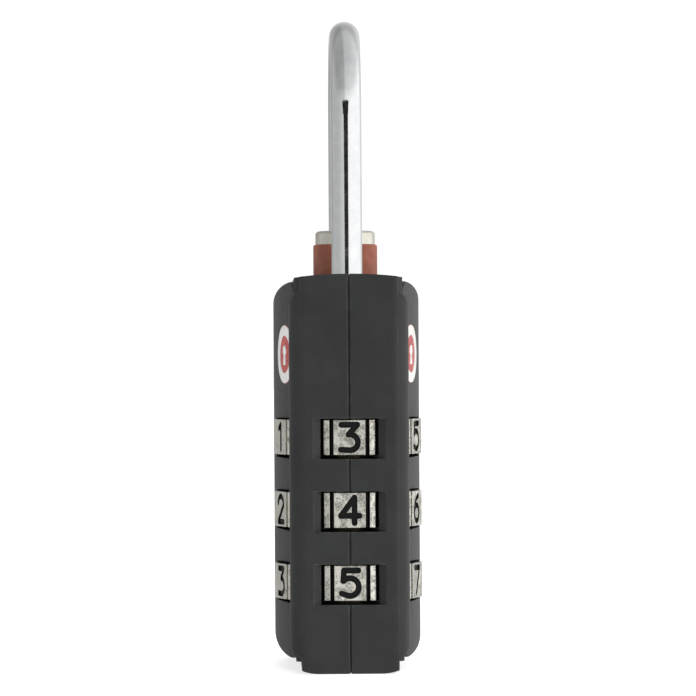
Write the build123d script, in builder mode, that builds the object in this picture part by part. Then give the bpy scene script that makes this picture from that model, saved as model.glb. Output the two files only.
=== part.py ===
from build123d import *
import os
from math import cos, radians, sin

os.makedirs("parts", exist_ok=True)

# Combination travel padlock, in millimetres.
# X runs through the thickness, Y from the dial edge (-Y) to the far edge, Z up.
# The origin is the middle of the base. The lock is closed, with its code dialled.

# Case
case_height = 39.8
case_depth = 30.0
panel_half = 4.85
core_half = 5.4
lip_half = 6.0
face_half = 7.45
face_edge_half = 5.35
face_depth = 23.6
face_low, face_high = 1.3, 39.1
face_corner = 2.1
lip_low, lip_high = 1.2, 38.4
lip_corner = 2.2
lip_clearance = 0.03
shoulder_radius = 1.6
end_round = 0.45
base_flat_half = 3.0
crown = 0.35
ledge = 1.15
parting_groove = 0.13

# Axes of the moving parts
dial_y = -7.0
toe_y = 10.0
indicator_y = 1.5
key_y = 7.0

# Dials: ten flats with a rib between each two
digits = 10
row_pitch = 7.25
row_heights = [23.5, 16.25, 9.0]
front_digits = [3, 4, 5]
dial_height = 3.5
flat_distance = 7.2
flat_width = 3.16
rib_radius = 7.42
rib_width = 0.58
dial_root = 6.8
dial_chamfer = 0.15
dial_bore = 4.96
digit_depth = 0.22
digit_stroke = 0.58
pocket_radius = 7.7
pocket_above, pocket_below = 1.89, 2.13
window_inner, window_outer = 2.9, 3.75
window_depth = 0.55

# Clutch sleeves, each a splined cup with a gated floor
sleeve_radius = 4.9
sleeve_bore = 4.98
sleeve_height = 7.2
sleeve_drop = 2.4
sleeve_floor = 4.8
sleeve_recess = 4.1
spline_width, spline_depth = 0.9, 0.42
tooth_width, tooth_depth = 0.74, 0.4
gate_width, gate_radius = 1.5, 3.9
sleeve_stack_low = 6.0
sleeve_stack_high = 34.2
washer_thickness = 0.5

# Detent spring: a strip with three bowed fingers
detent_y, detent_width, detent_thickness, detent_length = 1.75, 5.4, 0.3, 19.5
finger_reach, finger_height, finger_thickness = 0.62, 2.4, 0.25

# Shackle and its finned spindle
wire = 3.1
neck = 2.2
shackle_top = 66.0
leg_bottom = 3.0
spindle_low, spindle_high = 3.2, 21.9
fin_low, fin_height = 4.45, 1.8
fin_width, fin_reach = 1.2, 3.7
toe_bottom = 34.3
toe_chamfer = 0.5
spindle_pin_z, spindle_pin_radius = 3.82, 0.4
wire_radius = wire / 2
bow_radius = (toe_y - dial_y) / 2
bow_z = shackle_top - wire_radius - bow_radius
bow_y = (toe_y + dial_y) / 2

# Guides in the top of the case
leg_bush_low, leg_bush_high, leg_bush_radius = 34.95, 39.15, 2.6
toe_bush_low, toe_bush_high, toe_bush_radius = 35.4, 39.15, 2.2
bush_clearance = 0.05
spindle_well_low = 2.4
leg_hole_radius = 1.8
toe_hole_low = 33.8

# Indicator
cap_radius, cap_low, cap_high = 3.08, 43.04, 44.45
collar_radius, collar_low, collar_bore = 3.3, 38.9, 2.6
collar_roof = 42.2
stem_radius, stem_low = 1.2, 33.6
seat_low, seat_high = 34.7, 35.7
clip_low, clip_high, clip_radius = 34.12, 34.58, 2.3
clip_groove = 0.9
indicator_well_low = 30.2
indicator_coil, indicator_coil_wire, indicator_coil_turns = 1.9, 0.19, 5

# Inspection keyway
barrel_radius, barrel_low, barrel_high = 4.6, 0.9, 13.1
plug_radius, plug_bore = 3.0, 3.06
plug_head_radius, plug_head_low, plug_head_high = 3.4, 0.35, 1.3
tail_radius, tail_square, tail_high = 1.6, 1.6, 15.8
cam_low, cam_high, cam_radius, cam_throw = 13.9, 15.4, 2.6, 1.3
cam_room_high = 16.2
plug_clip_radius, plug_clip_depth, plug_clip_height = 2.5, 0.35, 0.5
keyway_width, keyway_length, keyway_high = 1.2, 4.0, 11.4
wafer_size, wafer_thickness = 4.1, 0.55
wafer_heights = [2.8, 4.8, 6.8, 8.8, 10.6]

# Release slide
plate_low, plate_high, plate_half, plate_near = 28.45, 29.45, 4.0, -5.2
arm_half, arm_near, arm_far = 2.8, 11.4, 12.4
tab_near = 9.92
release_travel = 1.3
release_arc = 5.15
lug_near, lug_far, lug_low, lug_half = 2.6, 3.4, 26.3, 1.2
spring_seat_y = 8.6
spring_z = 27.2
release_coil, release_coil_wire, release_coil_turns = 0.8, 0.14, 6

# Badges, flush in the faces
badge_y, badge_z, badge_radius, badge_thickness = -8.6, 31.8, 2.95, 0.5

# Drive pins through both halves: (Y, Z)
pin_radius, pin_length = 0.8, 9.0
pin_places = [(-12.9, 3.2), (-12.9, 37.0), (13.1, 3.2), (13.1, 36.8), (5.6, 22.0)]
barrel_pin_y, barrel_pin_z, barrel_pin_radius = 11.3, 7.0, 0.6

# The faces are arcs in plan, through their edges and their middle
face_rise = face_half - face_edge_half
face_arc = ((face_depth / 2) ** 2 + face_rise**2) / (2 * face_rise)
face_centre = face_half - face_arc


def save(piece, label):
    piece.label = label
    export_step(piece, f"parts/{label}.step")


def ring(outer, inner, low, high, y):
    """A plain round bush or washer on the vertical axis at y."""
    with BuildPart() as part:
        with BuildSketch(Plane((0, y, low))):
            Circle(outer)
            Circle(inner, mode=Mode.SUBTRACT)
        extrude(amount=high - low)
    return part.part


def clip(outer, inner, low, high, y, gap):
    """A snap ring with a gap towards +Y."""
    with BuildPart() as part:
        with BuildSketch(Plane((0, y, low))):
            Circle(outer)
            Circle(inner, mode=Mode.SUBTRACT)
            with Locations((0, outer / 2 + inner / 2)):
                Rectangle(gap, 2 * outer, mode=Mode.SUBTRACT)
        extrude(amount=high - low)
    return part.part


# Case ---------------------------------------------------------------------------------------

# The dial edge turns into the sides on one round shoulder, shared by the panel and the lips
shoulder_x = lip_half - shoulder_radius
shoulder_y = -case_depth / 2 + shoulder_radius
lip_round = shoulder_radius - lip_clearance


def shoulder(radius, along):
    """The point of a shoulder of this radius that lies this far beyond its centre in X."""
    return (shoulder_x + along, shoulder_y - (radius**2 - along**2) ** 0.5)


with BuildPart() as core:
    with BuildSketch(Plane.XY):
        with BuildLine():
            Line((0, -case_depth / 2), (shoulder_x, -case_depth / 2))
            ThreePointArc(
                (shoulder_x, -case_depth / 2),
                shoulder(shoulder_radius, (panel_half - shoulder_x) / 2),
                shoulder(shoulder_radius, panel_half - shoulder_x),
            )
            Polyline(
                shoulder(shoulder_radius, panel_half - shoulder_x),
                (panel_half, shoulder_y),
                (core_half, shoulder_y + core_half - panel_half),
                (core_half, 0),
            )
            mirror(about=Plane.XZ)
            mirror(about=Plane.YZ)
        make_face()
    extrude(amount=case_height)
    with BuildSketch(Plane.XZ):
        with BuildLine():
            Line((0, 0), (base_flat_half, 0))
            TangentArc((base_flat_half, 0), (panel_half, crown), tangent=(1, 0))
            Polyline(
                (panel_half, crown),
                (panel_half, ledge),
                (core_half, ledge),
                (core_half, case_height - crown),
            )
            ThreePointArc(
                (core_half, case_height - crown),
                (core_half / 2, case_height - crown / 4),
                (0, case_height),
            )
            mirror(about=Plane.YZ)
        make_face()
    extrude(amount=case_depth / 2, both=True, mode=Mode.INTERSECT)
    with BuildSketch(Plane.YZ):
        with Locations((0, case_height / 2)):
            RectangleRounded(case_depth, case_height, end_round)
    extrude(amount=core_half, both=True, mode=Mode.INTERSECT)

with BuildPart() as lips:
    with BuildSketch(Plane.XY.offset(lip_low)):
        with BuildLine():
            Line((0, shoulder_y - lip_round), (shoulder_x, shoulder_y - lip_round))
            ThreePointArc(
                (shoulder_x, shoulder_y - lip_round),
                shoulder(lip_round, lip_round * sin(radians(45))),
                (shoulder_x + lip_round, shoulder_y),
            )
            Polyline(
                (shoulder_x + lip_round, shoulder_y),
                (shoulder_x + lip_round, -face_depth / 2 - 0.35),
                (lip_half - 0.35, -face_depth / 2 + 0.1),
                (0, -face_depth / 2 + 0.1),
            )
            mirror(about=Plane.YZ)
        make_face()
        mirror(about=Plane.XZ)
    extrude(amount=lip_high - lip_low)
    with BuildSketch(Plane.XZ):
        with Locations((0, (lip_low + lip_high) / 2)):
            RectangleRounded(2 * lip_half, lip_high - lip_low, lip_corner)
    extrude(amount=case_depth / 2, both=True, mode=Mode.INTERSECT)

with BuildPart() as faces:
    with BuildSketch(Plane.XY.offset(face_low)):
        with BuildLine():
            Line((0, -face_depth / 2), (face_edge_half, -face_depth / 2))
            ThreePointArc(
                (face_edge_half, -face_depth / 2), (face_half, 0), (face_edge_half, face_depth / 2)
            )
            Line((face_edge_half, face_depth / 2), (0, face_depth / 2))
            mirror(about=Plane.YZ)
        make_face()
    extrude(amount=face_high - face_low)
    with BuildSketch(Plane.XZ):
        with Locations((0, (face_low + face_high) / 2)):
            RectangleRounded(2 * face_half, face_high - face_low, face_corner)
    extrude(amount=case_depth / 2, both=True, mode=Mode.INTERSECT)
    with BuildSketch(Plane.YZ):
        with Locations((0, (face_low + face_high) / 2)):
            RectangleRounded(face_depth, face_high - face_low, face_corner)
    extrude(amount=face_half + 1, both=True, mode=Mode.INTERSECT)


def badge(side):
    """A thin disc that follows the curve of one face; side is 1 or -1."""
    with BuildPart() as part:
        with BuildSketch(Plane.XY.offset(badge_z - badge_radius)):
            with Locations((side * face_centre, 0)):
                Circle(face_arc)
                Circle(face_arc - badge_thickness, mode=Mode.SUBTRACT)
        extrude(amount=2 * badge_radius)
        with BuildSketch(Plane.YZ):
            with Locations((badge_y, badge_z)):
                Circle(badge_radius)
        extrude(amount=side * 2 * face_half, mode=Mode.INTERSECT)
    return part.part


right_badge = badge(1)
left_badge = badge(-1)

# Round recesses that keep both badges clear of the core's flat sides
with BuildPart() as badge_room:
    with BuildSketch(Plane.YZ):
        with Locations((badge_y, badge_z)):
            Circle(badge_radius)
    extrude(amount=face_half, both=True)
    add(faces.part, mode=Mode.SUBTRACT)

with BuildPart() as case:
    add(core.part)
    add(lips.part)
    add(faces.part)
    add(badge_room.part, mode=Mode.SUBTRACT)
    add(right_badge, mode=Mode.SUBTRACT)
    add(left_badge, mode=Mode.SUBTRACT)
    # Rooms for the dials and the windows in the dial edge
    for row in row_heights:
        with BuildSketch(Plane((0, dial_y, row - pocket_below))):
            Circle(pocket_radius)
        extrude(amount=pocket_above + pocket_below, mode=Mode.SUBTRACT)
        with BuildSketch(Plane.XY.offset(row - pocket_below)):
            with BuildLine():
                Polyline(
                    (-window_inner, -case_depth / 2 + 2 * window_depth),
                    (-window_inner, -case_depth / 2 + window_depth),
                    (-window_outer, -case_depth / 2 - 0.1),
                    (window_outer, -case_depth / 2 - 0.1),
                    (window_inner, -case_depth / 2 + window_depth),
                    (window_inner, -case_depth / 2 + 2 * window_depth),
                    close=True,
                )
            make_face()
        extrude(amount=pocket_above + pocket_below, mode=Mode.SUBTRACT)
    # Bores on the long leg's axis
    for radius, low, high in [
        (sleeve_recess, spindle_well_low, sleeve_stack_low),
        (sleeve_bore, sleeve_stack_low, sleeve_stack_high),
        (leg_hole_radius, sleeve_stack_high, case_height + 1),
        (leg_bush_radius + 0.01, leg_bush_low, leg_bush_high),
    ]:
        with BuildSketch(Plane((0, dial_y, low))):
            Circle(radius)
        extrude(amount=high - low, mode=Mode.SUBTRACT)
    # Bores on the toe's axis
    for radius, low, high in [
        (leg_hole_radius, toe_hole_low, case_height + 1),
        (toe_bush_radius + 0.01, toe_bush_low, toe_bush_high),
    ]:
        with BuildSketch(Plane((0, toe_y, low))):
            Circle(radius)
        extrude(amount=high - low, mode=Mode.SUBTRACT)
    # Indicator well, its ledge and the room for its clip
    for radius, low, high in [
        (clip_radius + 0.3, indicator_well_low, seat_low),
        (stem_radius + 0.1, seat_low, seat_high),
        (collar_radius + 0.08, seat_high, case_height + 1),
    ]:
        with BuildSketch(Plane((0, indicator_y, low))):
            Circle(radius)
        extrude(amount=high - low, mode=Mode.SUBTRACT)
    # Keyway bores
    for radius, low, high in [
        (plug_head_radius + 0.12, -1, barrel_low),
        (barrel_radius + 0.01, barrel_low, barrel_high),
        (cam_radius + cam_throw + 0.3, barrel_high, cam_room_high),
    ]:
        with BuildSketch(Plane((0, key_y, low))):
            Circle(radius)
        extrude(amount=high - low, mode=Mode.SUBTRACT)
    # Channel of the release slide: (half width, near Y, far Y, low Z, high Z)
    channel_far = arm_far + release_travel + 0.2
    for half, near, far, low, high in [
        (plate_half + 0.1, plate_near - 0.3, channel_far, plate_low - 0.25, plate_high + 0.3),
        (arm_half + 0.1, tab_near - 0.3, channel_far, cam_low - 0.3, plate_high),
        (lug_half + 0.1, lug_near - 0.2, spring_seat_y, lug_low - 0.2, plate_low),
        (
            detent_width / 2 + 0.3,
            dial_y + pocket_radius - 0.5,
            detent_y + detent_thickness / 2,
            sleeve_stack_low + 0.2,
            lug_low,
        ),
    ]:
        with BuildSketch(Plane.XY.offset(low)):
            with Locations((0, (near + far) / 2)):
                Rectangle(2 * half, far - near)
        extrude(amount=high - low, mode=Mode.SUBTRACT)
    # Pins
    with BuildSketch(Plane.YZ):
        with Locations(*pin_places):
            Circle(pin_radius)
        with Locations((barrel_pin_y, barrel_pin_z)):
            Circle(barrel_pin_radius)
    extrude(amount=pin_length / 2, both=True, mode=Mode.SUBTRACT)
    # Shallow groove round the joint of the two halves
    for y in (-case_depth / 2, case_depth / 2):
        with BuildSketch(Plane.XY):
            with Locations((0, y)):
                Rectangle(1.6 * parting_groove, 1.6 * parting_groove, rotation=45)
        extrude(amount=case_height, mode=Mode.SUBTRACT)
    for z in (0, case_height):
        with BuildSketch(Plane.XZ):
            with Locations((0, z)):
                Rectangle(1.6 * parting_groove, 1.6 * parting_groove, rotation=45)
        extrude(amount=case_depth / 2, both=True, mode=Mode.SUBTRACT)

with BuildPart() as right_shell:
    add(case.part)
    split(bisect_by=Plane.YZ, keep=Keep.TOP)

with BuildPart() as left_shell:
    add(case.part)
    split(bisect_by=Plane.YZ, keep=Keep.BOTTOM)

with BuildPart() as assembly_pins:
    with BuildSketch(Plane.YZ):
        with Locations(*pin_places):
            Circle(pin_radius)
    extrude(amount=pin_length / 2, both=True)
    chamfer(assembly_pins.edges().filter_by(GeomType.CIRCLE), 0.15)

# Dials --------------------------------------------------------------------------------------

# Each digit is a list of strokes; two points are a line, three an arc through the middle one
glyphs = {
    0: [
        [(-0.86, -0.4), (-0.86, 0.4)],
        [(-0.86, 0.4), (0, 1.27), (0.86, 0.4)],
        [(0.86, 0.4), (0.86, -0.4)],
        [(0.86, -0.4), (0, -1.27), (-0.86, -0.4)],
    ],
    1: [[(0.1, -1.27), (0.1, 1.27)], [(0.1, 1.27), (-0.5, 0.85)]],
    2: [
        [(-0.82, 0.62), (0.05, 1.27), (0.8, 0.4)],
        [(0.8, 0.4), (-0.82, -1.27)],
        [(-0.82, -1.27), (0.9, -1.27)],
    ],
    3: [
        [(-0.8, 1.27), (0.78, 1.27)],
        [(0.78, 1.27), (-0.1, 0.28)],
        [(-0.1, 0.28), (0.84, -0.5), (-0.05, -1.27)],
        [(-0.05, -1.27), (-0.86, -1.22)],
    ],
    4: [[(0.46, -1.27), (0.46, 1.27)], [(0.46, 1.27), (-0.9, -0.55)], [(-0.9, -0.55), (0.96, -0.55)]],
    5: [
        [(0.8, 1.27), (-0.62, 1.27)],
        [(-0.62, 1.27), (-0.7, 0.22)],
        [(-0.7, 0.22), (0.84, -0.42), (-0.1, -1.27)],
        [(-0.1, -1.27), (-0.86, -1.02)],
    ],
    6: [
        [(-0.78, -0.48), (0, 0.3), (0.78, -0.48)],
        [(0.78, -0.48), (0, -1.27), (-0.78, -0.48)],
        [(-0.78, -0.48), (-0.35, 0.75), (0.6, 1.22)],
    ],
    7: [[(-0.84, 1.27), (0.84, 1.27)], [(0.84, 1.27), (-0.2, -1.27)]],
    8: [
        [(-0.58, 0.7), (0, 1.27), (0.58, 0.7)],
        [(0.58, 0.7), (0, 0.12), (-0.58, 0.7)],
        [(-0.78, -0.55), (0, 0.12), (0.78, -0.55)],
        [(0.78, -0.55), (0, -1.27), (-0.78, -0.55)],
    ],
    9: [
        [(0.78, 0.48), (0, -0.3), (-0.78, 0.48)],
        [(-0.78, 0.48), (0, 1.27), (0.78, 0.48)],
        [(0.78, 0.48), (0.35, -0.75), (-0.6, -1.22)],
    ],
}


def flat_plane(angle, row):
    """The plane of one flat; angle is measured from the dial edge towards +X."""
    a = radians(angle)
    origin = (flat_distance * sin(a), dial_y - flat_distance * cos(a), row)
    return Plane(origin=origin, x_dir=(cos(a), sin(a), 0), z_dir=(sin(a), -cos(a), 0))


def dial(row, front_digit):
    """A wheel whose front_digit faces -Y at rest, with the digits rising towards +X."""
    step = 360 / digits
    with BuildPart() as part:
        with BuildSketch(Plane((0, dial_y, row - dial_height / 2))):
            Circle(dial_root)
            with PolarLocations(0, digits, start_angle=-90):
                with Locations((flat_distance / 2, 0)):
                    Rectangle(flat_distance, flat_width)
            with PolarLocations(0, digits, start_angle=-90 + step / 2):
                with Locations((rib_radius / 2, 0)):
                    Rectangle(rib_radius, rib_width)
            Circle(dial_bore, mode=Mode.SUBTRACT)
            with PolarLocations(dial_bore - tooth_depth / 2 + 0.05, 2):
                Rectangle(tooth_depth + 0.1, tooth_width)
        extrude(amount=dial_height)
        # Both rims are bevelled
        with BuildSketch(Plane.YZ):
            with Locations((dial_y, row)):
                for end in (1, -1):
                    with BuildLine():
                        Polyline(
                            (rib_radius - dial_chamfer, end * dial_height / 2),
                            (rib_radius + dial_chamfer, end * (dial_height / 2 + dial_chamfer)),
                            (rib_radius + dial_chamfer, end * (dial_height / 2 - 2 * dial_chamfer)),
                            close=True,
                        )
                    make_face()
        revolve(axis=Axis((0, dial_y, 0), (0, 0, 1)), mode=Mode.SUBTRACT)
        for index in range(digits):
            with BuildSketch(flat_plane(index * step, row)):
                for stroke in glyphs[(front_digit + index) % digits]:
                    with BuildLine() as centre:
                        if len(stroke) == 2:
                            Line(*stroke)
                        else:
                            ThreePointArc(*stroke)
                    trace(centre.line, digit_stroke)
                    with Locations(stroke[0], stroke[-1]):
                        Circle(digit_stroke / 2)
            extrude(amount=-digit_depth, mode=Mode.SUBTRACT)
    return part.part


def sleeve(row):
    """A splined cup under and over one wheel, with a gate in its floor towards +Y."""
    low = row - sleeve_drop
    with BuildPart() as part:
        with BuildSketch(Plane((0, dial_y, low))):
            Circle(sleeve_radius)
            with PolarLocations(sleeve_radius, digits):
                Rectangle(2 * spline_depth, spline_width, mode=Mode.SUBTRACT)
        extrude(amount=sleeve_height)
        with BuildSketch(Plane((0, dial_y, low))):
            Circle(wire_radius + 0.1)
            with Locations((0, gate_radius / 2)):
                Rectangle(gate_width, gate_radius)
        extrude(amount=sleeve_height, mode=Mode.SUBTRACT)
        with BuildSketch(Plane((0, dial_y, low + sleeve_floor))):
            Circle(sleeve_recess)
        extrude(amount=sleeve_height - sleeve_floor, mode=Mode.SUBTRACT)
    return part.part


for number, (row, front_digit) in enumerate(zip(row_heights, front_digits), start=1):
    save(dial(row, front_digit), f"dial_{number}")
    save(sleeve(row), f"clutch_sleeve_{number}")

washer_high = sleeve_stack_low + washer_thickness
save(ring(sleeve_radius, sleeve_recess + 0.05, sleeve_stack_low, washer_high, dial_y), "thrust_washer")

with BuildPart() as detent_spring:
    with BuildSketch(Plane.XY.offset(washer_high)):
        with Locations((0, detent_y)):
            Rectangle(detent_width, detent_thickness)
    extrude(amount=detent_length)
    finger_end = (detent_width / 2 - 0.3, detent_y - detent_thickness / 2)
    for row in row_heights:
        with BuildSketch(Plane.XY.offset(row - finger_height / 2)):
            with BuildLine() as finger:
                ThreePointArc((-finger_end[0], finger_end[1]), (0, finger_reach), finger_end)
            trace(finger.line, finger_thickness)
        extrude(amount=finger_height)

# Shackle ------------------------------------------------------------------------------------

with BuildPart() as shackle:
    with BuildLine(Plane.YZ):
        Line((dial_y, spindle_high), (dial_y, bow_z))
        CenterArc((bow_y, bow_z), bow_radius, 180, -180)
        Line((toe_y, bow_z), (toe_y, toe_bottom))
    with BuildSketch(Plane((0, dial_y, spindle_high))):
        Circle(wire_radius)
    sweep()
    chamfer(shackle.faces().filter_by(Axis.Z).sort_by(Axis.Y)[-1].edges(), toe_chamfer)
    with BuildSketch(Plane((0, dial_y, leg_bottom))):
        Circle(neck / 2)
    extrude(amount=spindle_high - leg_bottom)
    with BuildSketch(Plane.YZ):
        with Locations((dial_y, spindle_pin_z)):
            Circle(spindle_pin_radius)
    extrude(amount=wire, both=True, mode=Mode.SUBTRACT)

with BuildPart() as finned_spindle:
    with BuildSketch(Plane((0, dial_y, spindle_low))):
        Circle(wire_radius)
    extrude(amount=spindle_high - spindle_low)
    for index in range(len(row_heights)):
        with BuildSketch(Plane((0, dial_y, fin_low + index * row_pitch))):
            with Locations((0, fin_reach / 2)):
                Rectangle(fin_width, fin_reach)
        extrude(amount=fin_height)
    with BuildSketch(Plane((0, dial_y, spindle_low))):
        Circle(neck / 2)
    extrude(amount=spindle_high - spindle_low, mode=Mode.SUBTRACT)
    with BuildSketch(Plane.YZ):
        with Locations((dial_y, spindle_pin_z)):
            Circle(spindle_pin_radius)
    extrude(amount=wire, both=True, mode=Mode.SUBTRACT)

with BuildPart() as spindle_pin:
    with BuildSketch(Plane.YZ):
        with Locations((dial_y, spindle_pin_z)):
            Circle(spindle_pin_radius)
    extrude(amount=wire_radius - 0.1, both=True)

save(ring(leg_bush_radius, wire_radius + bush_clearance, leg_bush_low, leg_bush_high, dial_y), "leg_bush")
save(ring(toe_bush_radius, wire_radius + bush_clearance, toe_bush_low, toe_bush_high, toe_y), "toe_bush")

# Indicator ----------------------------------------------------------------------------------

with BuildPart() as indicator_cap:
    with BuildSketch(Plane((0, indicator_y, cap_low))):
        Circle(cap_radius)
    extrude(amount=cap_high - cap_low)
    fillet(indicator_cap.faces().sort_by(Axis.Z)[-1].edges(), 0.4)
    with BuildSketch(Plane((0, indicator_y, stem_low))):
        Circle(stem_radius)
    extrude(amount=cap_low - stem_low)
    with BuildSketch(Plane((0, indicator_y, clip_low))):
        Circle(stem_radius)
        Circle(clip_groove, mode=Mode.SUBTRACT)
    extrude(amount=clip_high - clip_low, mode=Mode.SUBTRACT)

with BuildPart() as indicator_collar:
    with BuildSketch(Plane((0, indicator_y, collar_low))):
        Circle(collar_radius)
    extrude(amount=cap_low - collar_low)
    fillet(indicator_collar.faces().sort_by(Axis.Z)[-1].edges(), 0.2)
    with BuildSketch(Plane((0, indicator_y, collar_low))):
        Circle(collar_bore)
    extrude(amount=collar_roof - collar_low, mode=Mode.SUBTRACT)
    with BuildSketch(Plane((0, indicator_y, collar_low))):
        Circle(stem_radius)
    extrude(amount=cap_low - collar_low, mode=Mode.SUBTRACT)

save(clip(clip_radius, clip_groove, clip_low, clip_high, indicator_y, 1.2), "indicator_clip")

indicator_spring_length = collar_roof - seat_high - 0.4

with BuildPart() as indicator_spring:
    with BuildLine():
        coil = Helix(
            pitch=indicator_spring_length / indicator_coil_turns,
            height=indicator_spring_length,
            radius=indicator_coil,
            center=(0, indicator_y, seat_high + 0.2),
        )
    with BuildSketch(Plane(coil @ 0, z_dir=coil % 0)):
        Circle(indicator_coil_wire)
    sweep(path=coil)

# Inspection keyway --------------------------------------------------------------------------

with BuildPart() as cylinder_barrel:
    with BuildSketch(Plane((0, key_y, barrel_low))):
        Circle(barrel_radius)
    extrude(amount=barrel_high - barrel_low)
    with BuildSketch(Plane((0, key_y, barrel_low))):
        Circle(plug_head_radius + 0.06)
    extrude(amount=plug_head_high + 0.05 - barrel_low, mode=Mode.SUBTRACT)
    with BuildSketch(Plane((0, key_y, barrel_low))):
        Circle(plug_bore)
    extrude(amount=barrel_high - barrel_low, mode=Mode.SUBTRACT)
    with BuildSketch(Plane.YZ):
        with Locations((barrel_pin_y, barrel_pin_z)):
            Circle(barrel_pin_radius)
    extrude(amount=pin_length / 2, both=True, mode=Mode.SUBTRACT)

with BuildPart() as barrel_pin:
    with BuildSketch(Plane.YZ):
        with Locations((barrel_pin_y, barrel_pin_z)):
            Circle(barrel_pin_radius)
    extrude(amount=pin_length / 2, both=True)

with BuildPart() as key_plug:
    with BuildSketch(Plane((0, key_y, plug_head_low))):
        Circle(plug_head_radius)
    extrude(amount=plug_head_high - plug_head_low)
    with BuildSketch(Plane((0, key_y, plug_head_high))):
        Circle(plug_radius)
    extrude(amount=barrel_high - plug_head_high)
    with BuildSketch(Plane((0, key_y, barrel_high))):
        Circle(tail_radius)
    extrude(amount=cam_low - barrel_high)
    with BuildSketch(Plane((0, key_y, barrel_high + 0.1))):
        Circle(tail_radius)
        Circle(tail_radius - plug_clip_depth, mode=Mode.SUBTRACT)
    extrude(amount=plug_clip_height, mode=Mode.SUBTRACT)
    with BuildSketch(Plane((0, key_y, cam_low))):
        Rectangle(tail_square, tail_square)
    extrude(amount=tail_high - cam_low)
    with BuildSketch(Plane((0, key_y, plug_head_low))):
        Rectangle(keyway_width, keyway_length)
    extrude(amount=keyway_high - plug_head_low, mode=Mode.SUBTRACT)
    for height in wafer_heights:
        with BuildSketch(Plane((0, key_y, height - wafer_thickness / 2))):
            Rectangle(wafer_size, wafer_size)
        extrude(amount=wafer_thickness, mode=Mode.SUBTRACT)

with BuildPart() as key_wafers:
    for height in wafer_heights:
        with BuildSketch(Plane((0, key_y, height - wafer_thickness / 2))):
            Rectangle(wafer_size, wafer_size)
            Rectangle(keyway_width + 0.2, keyway_length - 1.2, mode=Mode.SUBTRACT)
        extrude(amount=wafer_thickness)

plug_clip_low = barrel_high + 0.1
plug_clip = clip(
    plug_clip_radius,
    tail_radius - plug_clip_depth,
    plug_clip_low,
    plug_clip_low + plug_clip_height,
    key_y,
    tail_radius,
)
save(plug_clip, "plug_clip")

with BuildPart() as release_cam:
    with BuildSketch(Plane((0, key_y, cam_low))):
        with Locations((cam_throw, 0)):
            Circle(cam_radius)
        Rectangle(tail_square, tail_square, mode=Mode.SUBTRACT)
    extrude(amount=cam_high - cam_low)

with BuildPart() as release_slide:
    with BuildSketch(Plane.XY.offset(plate_low)):
        with Locations((0, (arm_far + plate_near) / 2)):
            Rectangle(2 * plate_half, arm_far - plate_near)
        with Locations((0, dial_y - release_travel)):
            Circle(release_arc, mode=Mode.SUBTRACT)
    extrude(amount=plate_high - plate_low)
    with BuildSketch(Plane.XY.offset(cam_low)):
        with Locations((0, (arm_near + arm_far) / 2)):
            Rectangle(2 * arm_half, arm_far - arm_near)
    extrude(amount=plate_low - cam_low)
    with BuildSketch(Plane.XY.offset(cam_low)):
        with Locations((0, (tab_near + arm_far) / 2)):
            Rectangle(2 * arm_half, arm_far - tab_near)
    extrude(amount=cam_high - cam_low)
    with BuildSketch(Plane.XY.offset(lug_low)):
        with Locations((0, (lug_near + lug_far) / 2)):
            Rectangle(2 * lug_half, lug_far - lug_near)
    extrude(amount=plate_low - lug_low)

release_spring_length = spring_seat_y - lug_far - 0.3

with BuildPart() as release_spring:
    with BuildLine():
        turns = Helix(
            pitch=release_spring_length / release_coil_turns,
            height=release_spring_length,
            radius=release_coil,
            center=(0, lug_far + 0.15, spring_z),
            direction=(0, 1, 0),
        )
    with BuildSketch(Plane(turns @ 0, z_dir=turns % 0)):
        Circle(release_coil_wire)
    sweep(path=turns)

save(left_badge, "left_badge")
save(right_badge, "right_badge")
for piece, label in [
    (left_shell, "left_shell"),
    (right_shell, "right_shell"),
    (assembly_pins, "assembly_pins"),
    (detent_spring, "detent_spring"),
    (shackle, "shackle"),
    (finned_spindle, "finned_spindle"),
    (spindle_pin, "spindle_pin"),
    (indicator_cap, "indicator_cap"),
    (indicator_collar, "indicator_collar"),
    (indicator_spring, "indicator_spring"),
    (cylinder_barrel, "cylinder_barrel"),
    (barrel_pin, "barrel_pin"),
    (key_plug, "key_plug"),
    (key_wafers, "key_wafers"),
    (release_cam, "release_cam"),
    (release_slide, "release_slide"),
    (release_spring, "release_spring"),
]:
    save(piece.part, label)
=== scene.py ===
import math

import bmesh
import bpy
from mathutils import Matrix, Vector


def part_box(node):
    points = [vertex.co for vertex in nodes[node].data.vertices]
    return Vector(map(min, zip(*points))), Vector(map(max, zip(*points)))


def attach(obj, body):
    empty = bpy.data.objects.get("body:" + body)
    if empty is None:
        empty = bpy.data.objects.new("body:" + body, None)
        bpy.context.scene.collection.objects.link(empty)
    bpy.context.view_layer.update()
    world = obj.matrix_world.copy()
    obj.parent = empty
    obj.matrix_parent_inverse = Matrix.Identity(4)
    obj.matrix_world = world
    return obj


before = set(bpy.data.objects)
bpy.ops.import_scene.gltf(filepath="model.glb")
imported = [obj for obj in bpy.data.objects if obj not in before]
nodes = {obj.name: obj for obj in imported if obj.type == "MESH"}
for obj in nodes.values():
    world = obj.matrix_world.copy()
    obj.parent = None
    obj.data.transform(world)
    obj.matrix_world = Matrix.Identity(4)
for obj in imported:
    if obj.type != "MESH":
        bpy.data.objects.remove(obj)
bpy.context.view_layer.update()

MM = 0.001
scene = bpy.context.scene

# Places worked out from the frame
sleeve_low, sleeve_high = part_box("clutch_sleeve_2")
dial_axis_y = (sleeve_low.y + sleeve_high.y) / 2
case_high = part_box("right_shell")[1]
badge_low, badge_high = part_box("right_badge")

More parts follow.
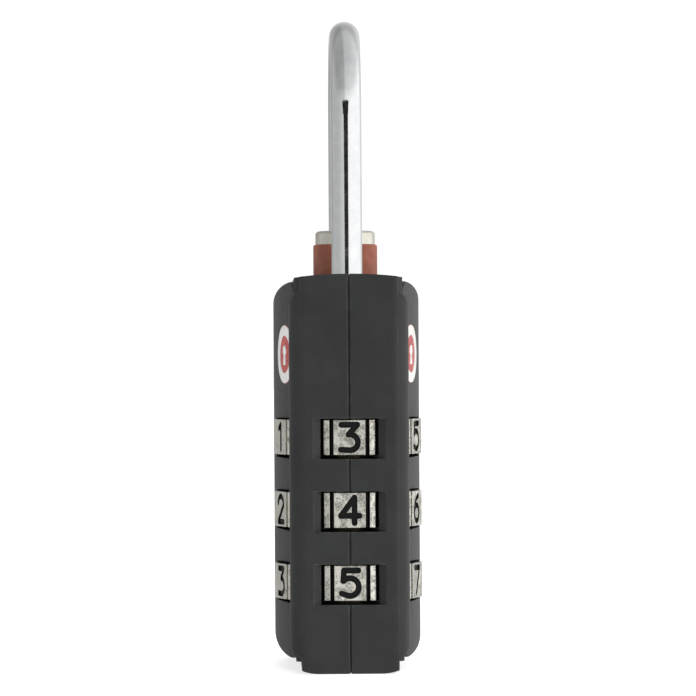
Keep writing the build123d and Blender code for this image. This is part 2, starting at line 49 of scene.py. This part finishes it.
# Dials: the angle between digits, the middle of a flat from the axis, where black paint lies
# (with painted shade on the end faces), and the side of each wheel that painted shade darkens most, and by
# how much
STEP = math.radians(36)
FLAT_DISTANCE = 7.2 * MM
PAINT_DEPTH = 0.07 * MM
PAINT_FADE = 0.03 * MM
RIB_PAINT_RADIUS = 7.22 * MM
PAINT_INNER_RADIUS = 6.0 * MM
PAINT_INNER_FADE = 0.1 * MM
SHADED_SIDE_ANGLE = 1.3 * STEP
PAINTED_SIDE_SHADE = 0.13

# Badges, and the arc of the case's faces that they lie on
BADGE_RADIUS = (badge_high.z - badge_low.z) / 2
BADGE_Y = badge_high.y - BADGE_RADIUS
BADGE_Z = (badge_low.z + badge_high.z) / 2
FACE_DEPTH = 23.6 * MM
FACE_RISE = 2.1 * MM
FACE_ARC = ((FACE_DEPTH / 2) ** 2 + FACE_RISE**2) / (2 * FACE_RISE)
MARK_LOW = -0.05 * MM
MARK_HIGH = 0.06 * MM
MARK_BEVEL = 0.02 * MM
OUTLINE_POINTS = 96
RIM_RADII = (0.64, 0.76, 0.88, 0.985)
KEYHOLE_SIZE = 0.85 * MM
KEYHOLE_RINGS = (0.04, 0.4, 0.75, 1.0)


# Camera ------------------------------------------------------------------------------------

AZIMUTH = math.radians(-1.15)
ROLL = math.radians(0.35)
DISTANCE = 445 * MM
TARGET = Vector((0.20 * MM, 0, 32.4 * MM))
LENS = 224
SENSOR_WIDTH = 36
CLIP_START = 0.01

view_back = Vector((math.sin(AZIMUTH), -math.cos(AZIMUTH), 0))
camera_data = bpy.data.cameras.new("camera")
camera_data.lens = LENS
camera_data.sensor_width = SENSOR_WIDTH
camera_data.clip_start = CLIP_START
camera = bpy.data.objects.new("camera", camera_data)
scene.collection.objects.link(camera)
facing = view_back.to_track_quat("Z", "Y").to_matrix().to_4x4()
placed = Matrix.Translation(TARGET + view_back * DISTANCE)
camera.matrix_world = placed @ facing @ Matrix.Rotation(-ROLL, 4, "Z")
scene.camera = camera


# Node trees --------------------------------------------------------------------------------

NOISE_LOW, NOISE_HIGH = 0.3, 0.7
BEVEL_SAMPLES = 6
FLAT_COSINE, EDGE_COSINE = 0.995, 0.86


class Tree:
    """A material's node tree, with short calls for the nodes that the finishes share."""

    def __init__(self, name):
        self.material = bpy.data.materials.new(name)
        self.material.use_nodes = True
        self.nodes = self.material.node_tree.nodes
        self.links = self.material.node_tree.links
        self.nodes.clear()
        self.shader = self.nodes.new("ShaderNodeBsdfPrincipled")
        output = self.nodes.new("ShaderNodeOutputMaterial")
        self.links.new(self.shader.outputs[0], output.inputs[0])
        self.place = self.nodes.new("ShaderNodeTexCoord").outputs["Object"]
        self.axes = self.nodes.new("ShaderNodeSeparateXYZ")
        self.links.new(self.place, self.axes.inputs[0])

    def put(self, socket, value):
        if isinstance(value, bpy.types.NodeSocket):
            self.links.new(value, socket)
        else:
            socket.default_value = value

    def set(self, **values):
        """Set or link the shader's inputs, named with _ for each space."""
        for name, value in values.items():
            self.put(self.shader.inputs[name.replace("_", " ")], value)

    def math(self, operation, first, second=0.0):
        node = self.nodes.new("ShaderNodeMath")
        node.operation = operation
        self.put(node.inputs[0], first)
        self.put(node.inputs[1], second)
        return node.outputs[0]

    def noise(self, size, detail=3.0, roughness=0.5, stretch=(1, 1, 1)):
        """Noise whose features are about size metres across, stretched along an axis."""
        mapping = self.nodes.new("ShaderNodeMapping")
        self.put(mapping.inputs[0], self.place)
        mapping.inputs["Scale"].default_value = [1 / (size * s) for s in stretch]
        node = self.nodes.new("ShaderNodeTexNoise")
        self.put(node.inputs["Vector"], mapping.outputs[0])
        node.inputs["Scale"].default_value = 1.0
        node.inputs["Detail"].default_value = detail
        node.inputs["Roughness"].default_value = roughness
        return node.outputs[0]

    def specks(self, size):
        """Distance to the nearest of scattered points about size metres apart."""
        mapping = self.nodes.new("ShaderNodeMapping")
        self.put(mapping.inputs[0], self.place)
        mapping.inputs["Scale"].default_value = [1 / size] * 3
        node = self.nodes.new("ShaderNodeTexVoronoi")
        self.put(node.inputs["Vector"], mapping.outputs[0])
        node.inputs["Scale"].default_value = 1.0
        return node.outputs["Distance"]

    def span(self, value, low, high, to_low=0.0, to_high=1.0):
        """Carry low..high smoothly onto to_low..to_high, and hold the ends."""
        node = self.nodes.new("ShaderNodeMapRange")
        node.interpolation_type = "SMOOTHSTEP"
        self.put(node.inputs["Value"], value)
        node.inputs["From Min"].default_value = low
        node.inputs["From Max"].default_value = high
        node.inputs["To Min"].default_value = to_low
        node.inputs["To Max"].default_value = to_high
        return node.outputs[0]

    def mix(self, factor, first, second):
        node = self.nodes.new("ShaderNodeMix")
        node.data_type = "RGBA"
        self.put(node.inputs["Factor"], factor)
        self.put(node.inputs[6], first)
        self.put(node.inputs[7], second)
        return node.outputs[2]

    def mottled(self, noise, dark, light):
        """Two colours that drift into each other with a noise."""
        return self.mix(self.span(noise, NOISE_LOW, NOISE_HIGH), dark, light)

    def uneven(self, noise, low, high):
        """A value that drifts from low to high with a noise."""
        return self.span(noise, NOISE_LOW, NOISE_HIGH, low, high)

    def bump(self, height, distance, strength, before=None):
        node = self.nodes.new("ShaderNodeBump")
        node.inputs["Strength"].default_value = strength
        node.inputs["Distance"].default_value = distance
        self.put(node.inputs["Height"], height)
        if before is not None:
            self.put(node.inputs["Normal"], before)
        return node.outputs[0]

    def soft_edges(self, radius):
        """Normals rounded over the edges."""
        bevel = self.nodes.new("ShaderNodeBevel")
        bevel.samples = BEVEL_SAMPLES
        bevel.inputs["Radius"].default_value = radius
        return bevel.outputs[0]

    def edge_mask(self, rounded):
        """1 where the rounded normals leave the true ones, which is on an edge."""
        geometry = self.nodes.new("ShaderNodeNewGeometry")
        dot = self.nodes.new("ShaderNodeVectorMath")
        dot.operation = "DOT_PRODUCT"
        self.put(dot.inputs[0], rounded)
        self.put(dot.inputs[1], geometry.outputs["True Normal"])
        return self.span(dot.outputs["Value"], FLAT_COSINE, EDGE_COSINE)


def rgb(red, green, blue):
    """An opaque colour."""
    return (red, green, blue, 1.0)


def case_finish():
    """Dark grey powder paint on a die casting, a little worn on its edges, with a painted highlight along
    them.
    """
    t = Tree("case_paint")
    rounded = t.soft_edges(0.22 * MM)
    edge = t.edge_mask(rounded)
    mottle = t.noise(3.5 * MM, 4, 0.6)
    grain = t.noise(0.16 * MM, 2, 0.6)
    peel = t.noise(0.55 * MM, 3, 0.55)
    wear_and_highlight = t.math("MULTIPLY", edge, t.span(t.noise(0.9 * MM, 4, 0.7), 0.36, 0.72))
    dust = t.span(t.specks(0.75 * MM), 0.075, 0.03)
    dust = t.math("MULTIPLY", dust, t.span(t.noise(1.7 * MM, 2), 0.60, 0.66))
    base = t.mottled(mottle, rgb(0.0165, 0.0180, 0.0170), rgb(0.0225, 0.0247, 0.0235))
    # Lighter edges: partly wear, partly a painted highlight.
    base = t.mix(t.math("MULTIPLY", wear_and_highlight, 0.70), base, rgb(0.120, 0.126, 0.120))
    base = t.mix(t.math("MULTIPLY", dust, 0.45), base, rgb(0.20, 0.20, 0.19))
    roughness = t.span(t.math("ADD", grain, t.math("MULTIPLY", edge, -0.35)), 0.2, 0.8, 0.36, 0.56)
    fine = t.bump(grain, 0.006 * MM, 0.6, rounded)
    t.set(
        Base_Color=base,
        Roughness=roughness,
        Specular_IOR_Level=0.45,
        Normal=t.bump(peel, 0.03 * MM, 0.35, fine),
    )
    return t.material


def worn_metal(name, dark, light, rough_low, rough_high, scratch=0.3, stretch=(1, 1, 9)):
    """A plated or machined metal with soft blotches and fine drawn lines."""
    t = Tree(name)
    rounded = t.soft_edges(0.07 * MM)
    blotch = t.noise(1.3 * MM, 4, 0.62)
    lines = t.noise(0.09 * MM, 3, 0.7, stretch)
    haze = t.math("ADD", blotch, t.math("MULTIPLY", lines, scratch))
    t.set(
        Base_Color=t.mottled(blotch, dark, light),
        Roughness=t.span(haze, 0.35, 0.95, rough_low, rough_high),
        Metallic=1.0,
        Normal=t.bump(lines, 0.004 * MM, scratch, rounded),
    )
    return t.material


def dial_finish(number):
    """Warm nickel plate, with black paint in everything cut below the flats."""
    t = Tree(f"dial_{number}_plate")

    # Where a point lies on the wheel: its radius, its angle, and its distance from the axis
    # along the middle of its own flat. Two whole turns keep the angle above zero.
    x = t.axes.outputs[0]
    y = t.math("SUBTRACT", t.axes.outputs[1], dial_axis_y)
    radius = t.math("SQRT", t.math("ADD", t.math("MULTIPLY", x, x), t.math("MULTIPLY", y, y)))
    angle = t.math("ARCTAN2", x, t.math("MULTIPLY", y, -1.0))
    turned = t.math("ADD", angle, STEP / 2 + 4 * math.pi)
    local = t.math("SUBTRACT", t.math("MODULO", turned, STEP), STEP / 2)
    distance = t.math("MULTIPLY", radius, t.math("COSINE", local))

    paint_top = FLAT_DISTANCE - PAINT_DEPTH
    below = t.span(distance, paint_top, paint_top - PAINT_FADE)
    inside = t.span(radius, RIB_PAINT_RADIUS, RIB_PAINT_RADIUS - PAINT_FADE)
    outer = t.span(radius, PAINT_INNER_RADIUS, PAINT_INNER_RADIUS + PAINT_INNER_FADE)
    # Black paint fills the cuts below the flats; the same mask also blackens the outer ring of each wheel's
    # end faces, as painted shade for the gaps above and below it.
    paint_and_end_shade = t.math("MULTIPLY", t.math("MULTIPLY", below, inside), outer)

    rounded = t.soft_edges(0.09 * MM)
    edge = t.edge_mask(rounded)
    # Painted shade: the smears spread further towards one side of each wheel, so that side is darker; the
    # smears themselves are paint residue.
    toward_shaded_side = t.math("COSINE", t.math("SUBTRACT", angle, SHADED_SIDE_ANGLE))
    painted_side_shade = t.math("MULTIPLY", toward_shaded_side, PAINTED_SIDE_SHADE)
    smear_and_shade_area = t.span(t.math("ADD", t.noise(0.95 * MM, 3, 0.6), painted_side_shade), 0.50, 0.62)
    smear_and_shade = t.math("MULTIPLY", smear_and_shade_area, t.span(t.noise(0.13 * MM, 4, 0.75), 0.40, 0.56))
    smear_and_shade = t.math("MULTIPLY", smear_and_shade, t.math("SUBTRACT", 1.0, edge))
    pits = t.noise(0.13 * MM, 3, 0.65)
    metal = t.mottled(t.noise(0.8 * MM, 4, 0.6), rgb(0.84, 0.81, 0.70), rgb(0.97, 0.955, 0.89))
    # Painted highlight: the metal is lighter along every edge.
    metal = t.mix(t.math("MULTIPLY", edge, 0.8), metal, rgb(0.97, 0.96, 0.92))
    metal = t.mix(t.math("MULTIPLY", smear_and_shade, 0.68), metal, rgb(0.075, 0.075, 0.065))
    t.set(
        Base_Color=t.mix(paint_and_end_shade, metal, rgb(0.004, 0.004, 0.004)),
        Metallic=t.math("SUBTRACT", 1.0, paint_and_end_shade),
        Roughness=t.mix(paint_and_end_shade, t.span(pits, 0.25, 0.75, 0.22, 0.42), rgb(0.5, 0.5, 0.5)),
        Specular_IOR_Level=0.25,
        Normal=t.bump(pits, 0.012 * MM, 0.5, rounded),
    )
    return t.material


def chrome_finish():
    """Bright chrome on drawn wire, with faint lines along it."""
    t = Tree("shackle_chrome")
    lines = t.noise(0.06 * MM, 3, 0.7, (1, 1, 40))
    ripple = t.noise(2.2 * MM, 2, 0.5, (1, 1, 2.5))
    haze = t.noise(1.0 * MM, 4, 0.6)
    t.set(
        Base_Color=t.mottled(haze, rgb(0.80, 0.81, 0.82), rgb(0.88, 0.885, 0.89)),
        Metallic=1.0,
        Roughness=t.span(haze, 0.3, 0.75, 0.055, 0.13),
        Normal=t.bump(ripple, 0.02 * MM, 0.25, t.bump(lines, 0.0015 * MM, 0.25)),
    )
    return t.material


def collar_finish():
    """Red-brown moulded band with a dry, slightly mottled skin, and a painted highlight along its edges."""
    t = Tree("collar_red_brown")
    rounded = t.soft_edges(0.12 * MM)
    edge = t.edge_mask(rounded)
    mottle = t.noise(0.9 * MM, 4, 0.6)
    grain = t.noise(0.12 * MM, 3, 0.6)
    base = t.mottled(mottle, rgb(0.27, 0.074, 0.036), rgb(0.35, 0.103, 0.054))
    # Painted highlight: the edges are lighter.
    base = t.mix(t.math("MULTIPLY", edge, 0.25), base, rgb(0.50, 0.22, 0.15))
    t.set(
        Base_Color=base,
        Roughness=t.uneven(grain, 0.42, 0.6),
        Normal=t.bump(grain, 0.01 * MM, 0.5, rounded),
    )
    return t.material


def moulded_finish(name, dark, light):
    """Plain moulded plastic, slightly mottled."""
    t = Tree(name)
    rounded = t.soft_edges(0.1 * MM)
    mottle = t.noise(1.4 * MM, 4, 0.6)
    t.set(
        Base_Color=t.mottled(mottle, dark, light),
        Roughness=t.uneven(mottle, 0.38, 0.55),
        Normal=t.bump(t.noise(0.15 * MM, 3), 0.008 * MM, 0.4, rounded),
    )
    return t.material


def enamel_finish(name, dark, light):
    """Printed enamel with a little pooling and a glossy skin."""
    t = Tree(name)
    pool = t.noise(0.9 * MM, 3, 0.5)
    grain = t.noise(0.14 * MM, 3, 0.6)
    t.set(
        Base_Color=t.mottled(pool, dark, light),
        Roughness=t.uneven(grain, 0.24, 0.38),
        Normal=t.bump(pool, 0.02 * MM, 0.3, t.bump(grain, 0.004 * MM, 0.4)),
    )
    return t.material


# Finishes for the CAD nodes ------------------------------------------------------------------

brass = worn_metal("brass", rgb(0.60, 0.42, 0.18), rgb(0.74, 0.56, 0.29), 0.22, 0.42)
blackened = worn_metal("blackened_brass", rgb(0.05, 0.045, 0.035), rgb(0.10, 0.085, 0.06), 0.3, 0.5)
plug_brass = worn_metal("plug_brass", rgb(0.58, 0.44, 0.22), rgb(0.72, 0.58, 0.34), 0.24, 0.45, 0.5)
steel = worn_metal("steel", rgb(0.42, 0.42, 0.43), rgb(0.58, 0.58, 0.60), 0.25, 0.45)
spring_steel = worn_metal("spring_steel", rgb(0.34, 0.34, 0.36), rgb(0.50, 0.50, 0.52), 0.28, 0.46)
cap_nickel = worn_metal("cap_nickel", rgb(0.70, 0.67, 0.58), rgb(0.82, 0.80, 0.72), 0.09, 0.2, 0.3, (8, 8, 1))
case_paint = case_finish()
red_enamel = enamel_finish("red_enamel", rgb(0.40, 0.035, 0.030), rgb(0.52, 0.06, 0.05))
white_enamel = enamel_finish("white_enamel", rgb(0.74, 0.73, 0.70), rgb(0.84, 0.83, 0.80))
nylon = moulded_finish("nylon", rgb(0.62, 0.60, 0.54), rgb(0.72, 0.70, 0.65))

finishes = {
    "left_shell": case_paint,
    "right_shell": case_paint,
    "left_badge": red_enamel,
    "right_badge": red_enamel,
    "shackle": chrome_finish(),
    "indicator_cap": cap_nickel,
    "indicator_collar": collar_finish(),
    "key_plug": plug_brass,
    "leg_bush": nylon,
    "toe_bush": steel,
}
for number in (1, 2, 3):
    finishes[f"dial_{number}"] = dial_finish(number)
    finishes[f"clutch_sleeve_{number}"] = blackened
for name in ("thrust_washer", "cylinder_barrel", "key_wafers"):
    finishes[name] = brass
for name in ("assembly_pins", "barrel_pin", "finned_spindle", "spindle_pin", "release_cam", "release_slide"):
    finishes[name] = steel
for name in ("detent_spring", "indicator_spring", "indicator_clip", "release_spring", "plug_clip"):
    finishes[name] = spring_steel
for name, node in nodes.items():
    node.data.materials.clear()
    node.data.materials.append(finishes[name])


# Badge marks: a white rim and a keyhole, laid on the curve of each face ---------------------


def face_x(y):
    """Half thickness of the case on its curved face at y."""
    return case_high.x - FACE_ARC + math.sqrt(FACE_ARC**2 - y**2)


def lay_on_face(name, outlines, side, material, body="root"):
    """A thin raised mark: strips of quads between paired outlines, bent onto one face."""
    mesh = bmesh.new()
    rows = [[(BADGE_Y + u, BADGE_Z + v) for u, v in outline] for outline in outlines]

    def vertex(y, z, height):
        return mesh.verts.new((side * (face_x(y) + height), y, z))

    top = [[vertex(y, z, MARK_HIGH) for y, z in row] for row in rows]
    bottom = [[vertex(y, z, MARK_LOW) for y, z in row] for row in rows]
    count = len(rows[0])
    for a in range(len(rows) - 1):
        for i in range(count):
            j = (i + 1) % count
            mesh.faces.new((top[a][i], top[a][j], top[a + 1][j], top[a + 1][i]))
            mesh.faces.new((bottom[a + 1][i], bottom[a + 1][j], bottom[a][j], bottom[a][i]))
    for edge_row, order in ((0, -1), (len(rows) - 1, 1)):
        for i in range(count):
            j = (i + 1) % count
            face = [top[edge_row][i], top[edge_row][j], bottom[edge_row][j], bottom[edge_row][i]]
            mesh.faces.new(face[::order])
    bmesh.ops.recalc_face_normals(mesh, faces=mesh.faces)
    data = bpy.data.meshes.new(name)
    mesh.to_mesh(data)
    mesh.free()
    for polygon in data.polygons:
        polygon.use_smooth = True
    piece = bpy.data.objects.new(name, data)
    scene.collection.objects.link(piece)
    bevel = piece.modifiers.new("bevel", "BEVEL")
    bevel.width = MARK_BEVEL
    bevel.segments = 2
    bevel.limit_method = "ANGLE"
    data.materials.append(material)
    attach(piece, body)


def circle_outline(radius):
    turns = [2 * math.pi * i / OUTLINE_POINTS for i in range(OUTLINE_POINTS)]
    return [(radius * math.cos(turn), radius * math.sin(turn)) for turn in turns]


def keyhole_outline(scale):
    """A keyhole traced round its middle: a round bow over a flared slot."""
    bow, slot_top, slot_foot, foot = 0.62, 0.26, 0.52, -1.25
    centre_v = 0.42
    side_points = 8
    arc_points = OUTLINE_POINTS - 3 * side_points
    spread = math.asin(slot_top / bow)
    neck = centre_v - bow * math.cos(spread)
    points = []
    for i in range(arc_points):
        turn = -math.pi / 2 + spread + (2 * math.pi - 2 * spread) * i / (arc_points - 1)
        points.append((bow * math.cos(turn), centre_v + bow * math.sin(turn)))
    flare = []
    for i in range(1, side_points + 1):
        f = i / (side_points + 1)
        flare.append((slot_top + (slot_foot - slot_top) * f, neck + (foot - neck) * f))
    points += [(-u, v) for u, v in flare]
    for i in range(side_points):
        points.append((slot_foot * (2 * i / (side_points - 1) - 1), foot))
    points += flare[::-1]
    return [(u * scale, v * scale) for u, v in points]


for side, label in ((1, "right"), (-1, "left")):
    rim = [circle_outline(BADGE_RADIUS * f) for f in RIM_RADII]
    lay_on_face(f"{label}_badge_rim", rim, side, white_enamel)
    keyhole = [keyhole_outline(KEYHOLE_SIZE * f) for f in KEYHOLE_RINGS]
    lay_on_face(f"{label}_badge_keyhole", keyhole, side, white_enamel)


# Studio ------------------------------------------------------------------------------------

PAPER_GLOW = 0.70
FLOOR_REACH = 3.0
FLOOR_Z = -0.02 * MM

# The tent's brightness from one end of an axis (0) to the other (1)
LEFT_TO_RIGHT = [(0.0, 0.44), (0.36, 0.60), (0.50, 0.92), (0.85, 1.0)]
BELOW_TO_ABOVE = [(0.0, 0.50), (0.30, 0.80), (0.45, 1.0), (0.62, 1.0), (0.82, 0.64), (1.0, 0.54)]
FRONT_TO_BACK = [(0.0, 1.0), (0.74, 1.0), (0.86, 0.68), (1.0, 0.64)]
TENT_STRENGTH = 1.12
BACKDROP_STRENGTH = 1.05

LIGHT_AIM = (0, 0, 0.03)
WARM_WHITE = (1.0, 0.985, 0.955)

# The dark card: how far it stands behind the camera, and its corners as (aside, height)
GAP_BEHIND_CAMERA = 0.12
GAP_CORNERS = [(-0.13, 0.024), (0.12, 0.024), (0.21, 0.26), (-0.34, 0.26)]


def plain(name, colour):
    """A matt stage surface, very slightly clouded."""
    t = Tree(name)
    lighter = rgb(*(min(1.0, c * 1.01) for c in colour[:3]))
    t.set(Base_Color=t.mix(t.noise(0.4, 2, 0.5), colour, lighter), Roughness=0.9)
    return t


def sheet(name, corners, material):
    data = bpy.data.meshes.new(name)
    data.from_pydata([tuple(c) for c in corners], [], [tuple(range(len(corners)))])
    piece = bpy.data.objects.new(name, data)
    scene.collection.objects.link(piece)
    data.materials.append(material)
    return piece


def glowing_paper():
    """White paper of a light table: bright enough to leave no edge against the backdrop."""
    t = plain("paper", rgb(0.90, 0.90, 0.90))
    t.set(Emission_Color=rgb(1, 1, 1), Emission_Strength=PAPER_GLOW)
    return t.material


floor_corners = [
    (u * FLOOR_REACH, v * FLOOR_REACH, FLOOR_Z) for u, v in ((-1, -1), (1, -1), (1, 1), (-1, 1))
]
floor = sheet("floor", floor_corners, glowing_paper())
floor.visible_glossy = False


def light_tent():
    """A tent that lights the lock, greyer left, above, below and behind, and the plain white
    backdrop that the camera sees in its place."""
    world = bpy.data.worlds.new("studio")
    scene.world = world
    world.use_nodes = True
    tree = world.node_tree
    tree.nodes.clear()
    direction = tree.nodes.new("ShaderNodeTexCoord").outputs["Generated"]
    axes = tree.nodes.new("ShaderNodeSeparateXYZ")
    tree.links.new(direction, axes.inputs[0])

    def ramp(value, stops):
        node = tree.nodes.new("ShaderNodeValToRGB")
        node.color_ramp.interpolation = "EASE"
        tree.links.new(value, node.inputs[0])
        elements = node.color_ramp.elements
        while len(elements) < len(stops):
            elements.new(0.5)
        for element, (place, grey) in zip(elements, stops):
            element.position = place
            element.color = rgb(grey, grey, grey)
        return node.outputs[0]

    def scaled(socket):
        """Carry a direction's -1..1 onto 0..1."""
        node = tree.nodes.new("ShaderNodeMapRange")
        tree.links.new(socket, node.inputs["Value"])
        node.inputs["From Min"].default_value = -1.0
        node.inputs["From Max"].default_value = 1.0
        return node.outputs[0]

    sideways = ramp(scaled(axes.outputs[0]), LEFT_TO_RIGHT)
    upward = ramp(scaled(axes.outputs[2]), BELOW_TO_ABOVE)
    behind = ramp(scaled(axes.outputs[1]), FRONT_TO_BACK)

    def product(first, second):
        node = tree.nodes.new("ShaderNodeMix")
        node.data_type = "RGBA"
        node.blend_type = "MULTIPLY"
        node.inputs["Factor"].default_value = 1.0
        tree.links.new(first, node.inputs[6])
        tree.links.new(second, node.inputs[7])
        return node.outputs[2]

    tent = tree.nodes.new("ShaderNodeBackground")
    tree.links.new(product(product(sideways, upward), behind), tent.inputs[0])
    tent.inputs[1].default_value = TENT_STRENGTH
    backdrop = tree.nodes.new("ShaderNodeBackground")
    backdrop.inputs[0].default_value = rgb(1, 1, 1)
    backdrop.inputs[1].default_value = BACKDROP_STRENGTH
    seen = tree.nodes.new("ShaderNodeLightPath").outputs["Is Camera Ray"]
    choice = tree.nodes.new("ShaderNodeMixShader")
    tree.links.new(seen, choice.inputs[0])
    tree.links.new(tent.outputs[0], choice.inputs[1])
    tree.links.new(backdrop.outputs[0], choice.inputs[2])
    output = tree.nodes.new("ShaderNodeOutputWorld")
    tree.links.new(choice.outputs[0], output.inputs[0])


light_tent()


def softbox(name, position, size, power, colour=(1, 1, 1)):
    """A rectangular lamp that lights the lock but never shows in its plating."""
    light = bpy.data.lights.new(name, "AREA")
    light.shape = "RECTANGLE"
    light.size, light.size_y = size
    light.energy = power
    light.color = colour
    lamp = bpy.data.objects.new(name, light)
    scene.collection.objects.link(lamp)
    lamp.location = position
    aim = Vector(LIGHT_AIM) - Vector(position)
    lamp.rotation_euler = aim.to_track_quat("-Z", "Y").to_euler()
    lamp.visible_glossy = False


softbox("key_right", position=(0.62, -0.50, 0.30), size=(0.28, 0.7), power=1.6, colour=WARM_WHITE)
softbox("top", position=(0.05, -0.10, 0.80), size=(0.60, 0.60), power=1.4)

# A dark card behind the camera: the plating shows it as a thin dark line, as it
# would show an opening in a tent. Views from other sides see it only in reflections.
gap_centre = TARGET + view_back * (DISTANCE + GAP_BEHIND_CAMERA)
across = Vector((math.cos(AZIMUTH), math.sin(AZIMUTH), 0))
gap_corners = []
for aside, height in GAP_CORNERS:
    corner = gap_centre + across * aside
    gap_corners.append((corner.x, corner.y, height))
gap = sheet("tent_gap", gap_corners, plain("tent_gap", rgb(0.01, 0.01, 0.01)).material)
gap.visible_camera = False

scene.view_settings.view_transform = "Standard"
